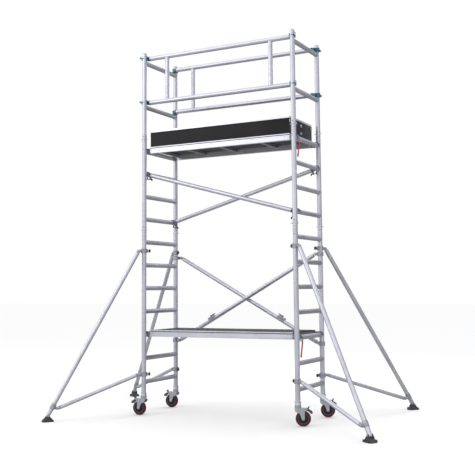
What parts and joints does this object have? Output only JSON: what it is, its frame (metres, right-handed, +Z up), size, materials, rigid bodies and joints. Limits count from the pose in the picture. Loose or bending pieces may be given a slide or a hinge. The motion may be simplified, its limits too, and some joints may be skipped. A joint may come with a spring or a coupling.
{
  "type": "mobile access tower",
  "caption": "Wheeled aluminium access tower: ladder frames, platforms with hatch, guardrails, toe boards, braces and swing-out stabilisers.",
  "frame": {"origin": "on the floor midway between the four castors; the four stabilisers reach out unevenly, so this isn't the middle of the bounding box", "axes": "+Z up along the uprights, +X along the platforms, the front guardrail on -Y"},
  "size_m": [3.8664, 2.507, 3.965],
  "materials": {
    "black_plastic": "moulded black",
    "cap_plastic": "moulded pale grey",
    "cast_alloy": "rough cast",
    "claw_plastic": "moulded teal",
    "clip_steel": "sprung steel",
    "deck_aluminium": "bright extruded section",
    "deck_ply": "film faced, anti-slip",
    "foot_rubber": "moulded dark grey",
    "red_plastic": "moulded red",
    "toe_ply": "film faced",
    "tube_aluminium": "satin extruded tube",
    "wheel_tread": "dark red moulded tread",
    "zinc_steel": "zinc plated"
  },
  "bodies": {
    "tower": {"base_frame_left": "tube_aluminium", "base_frame_right": "tube_aluminium", "upper_frame_left": "tube_aluminium", "upper_frame_right": "tube_aluminium", "guard_frame_left": "tube_aluminium", "guard_frame_right": "tube_aluminium", "frame_spigots": "tube_aluminium", "locking_clips": "clip_steel", "upright_caps": "cap_plastic", "front_guardrail": "tube_aluminium", "back_guardrail": "tube_aluminium", "guardrail_claws": "claw_plastic", "diagonal_braces": "tube_aluminium", "brace_claws": "cast_alloy", "fold_brace_upper_links": "tube_aluminium", "fold_brace_lower_links": "tube_aluminium", "fold_brace_collars": "cast_alloy", "fold_brace_elbows": "cast_alloy", "castor_stems": "zinc_steel", "upper_deck_frame": "deck_aluminium", "lower_deck_frame": "deck_aluminium", "upper_deck_boards": "deck_ply", "lower_deck_board": "deck_ply", "hatch_hinges": "zinc_steel"},
    "castor_fork_fl": {"castor_fork_fl": "zinc_steel"},
    "castor_wheel_fl": {"castor_wheel_fl": "wheel_tread"},
    "castor_pedal_fl": {"castor_pedal_fl": "black_plastic"},
    "stabiliser_fl": {"stabiliser_struts_fl": "tube_aluminium", "stabiliser_clamps_fl": "cast_alloy"},
    "stabiliser_foot_fl": {"stabiliser_foot_fl": "foot_rubber"},
    "castor_fork_fr": {"castor_fork_fr": "zinc_steel"},
    "castor_wheel_fr": {"castor_wheel_fr": "wheel_tread"},
    "castor_pedal_fr": {"castor_pedal_fr": "black_plastic"},
    "stabiliser_fr": {"stabiliser_struts_fr": "tube_aluminium", "stabiliser_clamps_fr": "cast_alloy"},
    "stabiliser_foot_fr": {"stabiliser_foot_fr": "foot_rubber"},
    "castor_fork_bl": {"castor_fork_bl": "zinc_steel"},
    "castor_wheel_bl": {"castor_wheel_bl": "wheel_tread"},
    "castor_pedal_bl": {"castor_pedal_bl": "black_plastic"},
    "stabiliser_bl": {"stabiliser_struts_bl": "tube_aluminium", "stabiliser_clamps_bl": "cast_alloy"},
    "stabiliser_foot_bl": {"stabiliser_foot_bl": "foot_rubber"},
    "castor_fork_br": {"castor_fork_br": "zinc_steel"},
    "castor_wheel_br": {"castor_wheel_br": "wheel_tread"},
    "castor_pedal_br": {"castor_pedal_br": "black_plastic"},
    "stabiliser_br": {"stabiliser_struts_br": "tube_aluminium", "stabiliser_clamps_br": "cast_alloy"},
    "stabiliser_foot_br": {"stabiliser_foot_br": "foot_rubber"},
    "hatch": {"hatch": "deck_ply"},
    "wind_latch_upper": {"wind_latch_upper": "red_plastic"},
    "wind_latch_lower": {"wind_latch_lower": "red_plastic"},
    "guardrail_latches_left": {"guardrail_latches_left": "clip_steel"},
    "brace_triggers_left": {"brace_triggers_left": "black_plastic"},
    "guardrail_latches_right": {"guardrail_latches_right": "clip_steel"},
    "brace_triggers_right": {"brace_triggers_right": "black_plastic"},
    "fold_brace_lock_right": {"fold_brace_lock_right": "black_plastic"},
    "fold_brace_lock_left": {"fold_brace_lock_left": "black_plastic"},
    "toe_board_set": {"toe_boards": "toe_ply", "toe_board_caps": "deck_aluminium", "toe_board_hinges": "zinc_steel"}
  },
  "joints": [
    {"name": "castor_swivel_fl", "type": "hinge", "parent": "tower", "child": "castor_fork_fl", "pos_m": [-0.9, -0.325, 0.17], "axis": [0, 0, 1], "continuous": true},
    {"name": "wheel_spin_fl", "type": "hinge", "parent": "castor_fork_fl", "child": "castor_wheel_fl", "pos_m": [-0.94988, -0.32849, 0.075], "axis": [-0.0698, 0.9976, 0], "continuous": true},
    {"name": "brake_pedal_fl", "type": "hinge", "parent": "castor_fork_fl", "child": "castor_pedal_fl", "pos_m": [-0.98379, -0.33086, 0.16], "axis": [-0.0698, 0.9976, 0], "range_deg": [0, 18]},
    {"name": "stabiliser_swing_fl", "type": "hinge", "parent": "tower", "child": "stabiliser_fl", "pos_m": [-0.9, -0.325, 1.755], "axis": [0, 0, 1], "range_deg": [-36, 24]},
    {"name": "foot_tilt_fl", "type": "hinge", "parent": "stabiliser_fl", "child": "stabiliser_foot_fl", "pos_m": [-1.54191, -1.11769, 0.06], "axis": [-0.7771, 0.6293, 0], "range_deg": [-20, 20]},
    {"name": "castor_swivel_fr", "type": "hinge", "parent": "tower", "child": "castor_fork_fr", "pos_m": [0.9, -0.325, 0.17], "axis": [0, 0, 1], "continuous": true},
    {"name": "wheel_spin_fr", "type": "hinge", "parent": "castor_fork_fr", "child": "castor_wheel_fr", "pos_m": [0.94636, -0.30627, 0.075], "axis": [0.3746, -0.9272, 0], "continuous": true},
    {"name": "brake_pedal_fr", "type": "hinge", "parent": "castor_fork_fr", "child": "castor_pedal_fr", "pos_m": [0.97788, -0.29353, 0.16], "axis": [0.3746, -0.9272, 0], "range_deg": [0, 18]},
    {"name": "stabiliser_swing_fr", "type": "hinge", "parent": "tower", "child": "stabiliser_fr", "pos_m": [0.9, -0.325, 1.755], "axis": [0, 0, -1], "range_deg": [-15, 45]},
    {"name": "foot_tilt_fr", "type": "hinge", "parent": "stabiliser_fr", "child": "stabiliser_foot_fr", "pos_m": [1.805, -0.8475, 0.06], "axis": [-0.5, -0.866, 0], "range_deg": [-20, 20]},
    {"name": "castor_swivel_bl", "type": "hinge", "parent": "tower", "child": "castor_fork_bl", "pos_m": [-0.9, 0.325, 0.17], "axis": [0, 0, 1], "continuous": true},
    {"name": "wheel_spin_bl", "type": "hinge", "parent": "castor_fork_bl", "child": "castor_wheel_bl", "pos_m": [-0.94988, 0.32151, 0.075], "axis": [-0.0698, 0.9976, 0], "continuous": true},
    {"name": "brake_pedal_bl", "type": "hinge", "parent": "castor_fork_bl", "child": "castor_pedal_bl", "pos_m": [-0.98379, 0.31914, 0.16], "axis": [-0.0698, 0.9976, 0], "range_deg": [0, 18]},
    {"name": "stabiliser_swing_bl", "type": "hinge", "parent": "tower", "child": "stabiliser_bl", "pos_m": [-0.9, 0.325, 1.755], "axis": [0, 0, -1], "range_deg": [-17.5, 42.5]},
    {"name": "foot_tilt_bl", "type": "hinge", "parent": "stabiliser_bl", "child": "stabiliser_foot_bl", "pos_m": [-1.91207, 0.96976, 0.06], "axis": [0.5373, 0.8434, 0], "range_deg": [-20, 20]},
    {"name": "castor_swivel_br", "type": "hinge", "parent": "tower", "child": "castor_fork_br", "pos_m": [0.9, 0.325, 0.17], "axis": [0, 0, 1], "continuous": true},
    {"name": "wheel_spin_br", "type": "hinge", "parent": "castor_fork_br", "child": "castor_wheel_br", "pos_m": [0.94636, 0.34373, 0.075], "axis": [0.3746, -0.9272, 0], "continuous": true},
    {"name": "brake_pedal_br", "type": "hinge", "parent": "castor_fork_br", "child": "castor_pedal_br", "pos_m": [0.97788, 0.35647, 0.16], "axis": [0.3746, -0.9272, 0], "range_deg": [0, 18]},
    {"name": "stabiliser_swing_br", "type": "hinge", "parent": "tower", "child": "stabiliser_br", "pos_m": [0.9, 0.325, 1.755], "axis": [0, 0, 1], "range_deg": [-38, 22]},
    {"name": "foot_tilt_br", "type": "hinge", "parent": "stabiliser_br", "child": "stabiliser_foot_br", "pos_m": [1.58908, 1.23944, 0.06], "axis": [0.7986, -0.6018, 0], "range_deg": [-20, 20]},
    {"name": "hatch_hinge", "type": "hinge", "parent": "tower", "child": "hatch", "pos_m": [0.18, 0.195, 2.9055], "axis": [-1, 0, 0], "range_deg": [0, 95]},
    {"name": "wind_latch_upper_turn", "type": "hinge", "parent": "tower", "child": "wind_latch_upper", "pos_m": [0.93025, -0.2621, 2.856], "axis": [0, -1, 0], "range_deg": [0, 60]},
    {"name": "wind_latch_lower_turn", "type": "hinge", "parent": "tower", "child": "wind_latch_lower", "pos_m": [0.93025, -0.2621, 0.856], "axis": [0, -1, 0], "range_deg": [0, 60]},
    {"name": "guardrail_latch_left_slide", "type": "slide", "parent": "tower", "child": "guardrail_latches_left", "axis": [-1, 0, 0], "range_m": [0, 0.034], "stiffness_N_per_m": 400},
    {"name": "brace_trigger_left_slide", "type": "slide", "parent": "tower", "child": "brace_triggers_left", "axis": [1, 0, 0], "range_m": [0, 0.024], "stiffness_N_per_m": 400},
    {"name": "guardrail_latch_right_slide", "type": "slide", "parent": "tower", "child": "guardrail_latches_right", "axis": [1, 0, 0], "range_m": [0, 0.034], "stiffness_N_per_m": 400},
    {"name": "brace_trigger_right_slide", "type": "slide", "parent": "tower", "child": "brace_triggers_right", "axis": [-1, 0, 0], "range_m": [0, 0.024], "stiffness_N_per_m": 400},
    {"name": "fold_brace_lock_right_lift", "type": "hinge", "parent": "tower", "child": "fold_brace_lock_right", "pos_m": [0.42648, 0.375, 1.03611], "axis": [0, 1, 0], "range_deg": [0, 40]},
    {"name": "fold_brace_lock_left_lift", "type": "hinge", "parent": "tower", "child": "fold_brace_lock_left", "pos_m": [-0.42648, 0.325, 1.03611], "axis": [0, -1, 0], "range_deg": [0, 40]},
    {"name": "toe_board_lift", "type": "slide", "parent": "tower", "child": "toe_board_set", "axis": [0, 0, 1], "range_m": [0, 0.2]}
  ]
}
